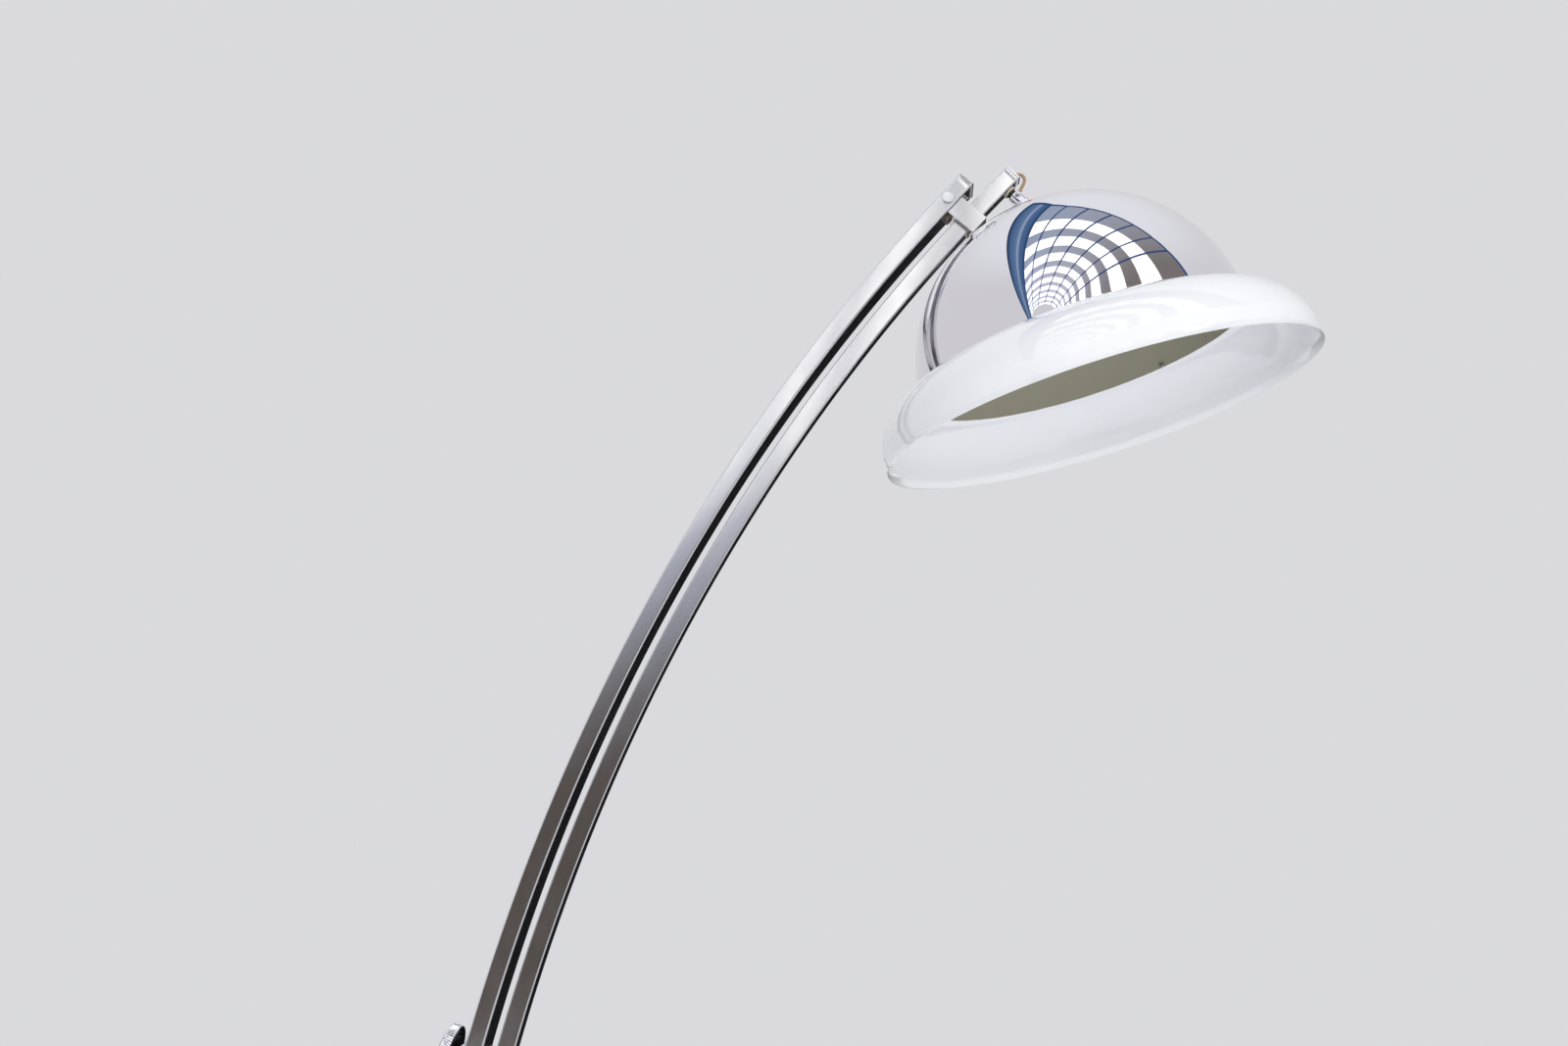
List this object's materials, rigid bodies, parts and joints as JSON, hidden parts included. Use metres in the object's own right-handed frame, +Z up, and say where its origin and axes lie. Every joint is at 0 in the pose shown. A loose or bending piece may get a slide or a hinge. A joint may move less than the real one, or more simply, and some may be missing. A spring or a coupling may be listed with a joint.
{
  "type": "arc floor lamp",
  "caption": "Telescopic arc floor lamp: weighted round base, bent box tube, a second tube sliding on the same arc, chromed dome shade with an acrylic ring on a ball swivel.",
  "frame": {"origin": "centre of the base pad's underside, which rests on the floor", "axes": "+Z up, +X from the mast towards the shade, +Y across the arms"},
  "size_m": [1.0994, 0.5, 1.9525],
  "materials": {
    "brushed_tube": "brushed along its length, satin",
    "chrome_plate": "bright mirror chrome outside",
    "cast_iron": "sand cast, painted",
    "zinc_plated_steel": "bright zinc plated",
    "brass": "plain turned brass",
    "felt": "pressed felt pad",
    "nylon": "natural nylon",
    "black_plastic": "moulded, satin",
    "lead_cover": "brown translucent PVC",
    "acrylic": "opal white, glossy",
    "porcelain": "glazed",
    "opal_glass": "opal white"
  },
  "bodies": {
    "base": {"main_arm": "brushed_tube", "main_arm_end_cap": "brushed_tube", "upper_sleeve": "brushed_tube", "mast_socket": "brushed_tube", "base_cover": "brushed_tube", "cross_bolt_cap_front": "chrome_plate", "cross_bolt_cap_rear": "chrome_plate", "base_weight": "cast_iron", "foot_screw_1": "zinc_plated_steel", "foot_screw_2": "zinc_plated_steel", "foot_screw_3": "zinc_plated_steel", "foot_screw_4": "zinc_plated_steel", "mast_lock_screw": "zinc_plated_steel", "cross_bolt": "zinc_plated_steel", "spacer_screw": "zinc_plated_steel", "base_pad": "felt", "upper_sleeve_liner": "nylon", "upper_spacer": "nylon", "cord_gland": "black_plastic"},
    "arm": {"sliding_arm": "brushed_tube", "sliding_arm_end_cap": "brushed_tube", "sliding_arm_foot_cap": "black_plastic", "lower_sleeve": "brushed_tube", "lower_sleeve_liner": "nylon", "lower_spacer": "brushed_tube", "swivel_stud": "zinc_plated_steel", "swivel_nut": "zinc_plated_steel", "swivel_washer": "nylon", "swivel_lock_nut": "black_plastic", "swivel_cup": "chrome_plate", "swivel_cup_screw": "zinc_plated_steel", "shade_lead": "lead_cover"},
    "clamp_knob": {"clamp_knob": "black_plastic", "clamp_knob_band": "chrome_plate", "clamp_spindle": "zinc_plated_steel"},
    "swivel": {"swivel_ball": "chrome_plate"},
    "shade": {"dome": "chrome_plate", "acrylic_ring": "acrylic", "ring_clip_screw_1": "zinc_plated_steel", "ring_clip_screw_2": "zinc_plated_steel", "ring_clip_screw_3": "zinc_plated_steel", "ball_seat": "zinc_plated_steel", "holder_bridge": "zinc_plated_steel", "seat_screw_1": "zinc_plated_steel", "seat_screw_2": "zinc_plated_steel", "seat_screw_3": "zinc_plated_steel", "holder_nipple": "brass", "nipple_nut": "brass", "lampholder": "black_plastic", "lampholder_contact": "porcelain", "bulb_cap": "brass", "bulb_glass": "opal_glass"}
  },
  "joints": [
    {"name": "arm_extend", "type": "hinge", "parent": "base", "child": "arm", "pos_m": [2.113, 0, 0.38], "axis": [0, 1, 0], "range_deg": [0, 22]},
    {"name": "clamp_knob_turn", "type": "hinge", "parent": "arm", "child": "clamp_knob", "pos_m": [-0.06917, 0, 0.95244], "axis": [-0.9673, 0, 0.2537], "range_deg": [0, 360]},
    {"name": "shade_swivel", "type": "hinge", "parent": "arm", "child": "swivel", "pos_m": [0.58919, 0, 1.89532], "axis": [0.7091, 0, -0.7051], "range_deg": [-170, 170]},
    {"name": "shade_tilt", "type": "hinge", "parent": "swivel", "child": "shade", "pos_m": [0.58919, 0, 1.89532], "axis": [0, -1, 0], "range_deg": [0, 60]}
  ]
}
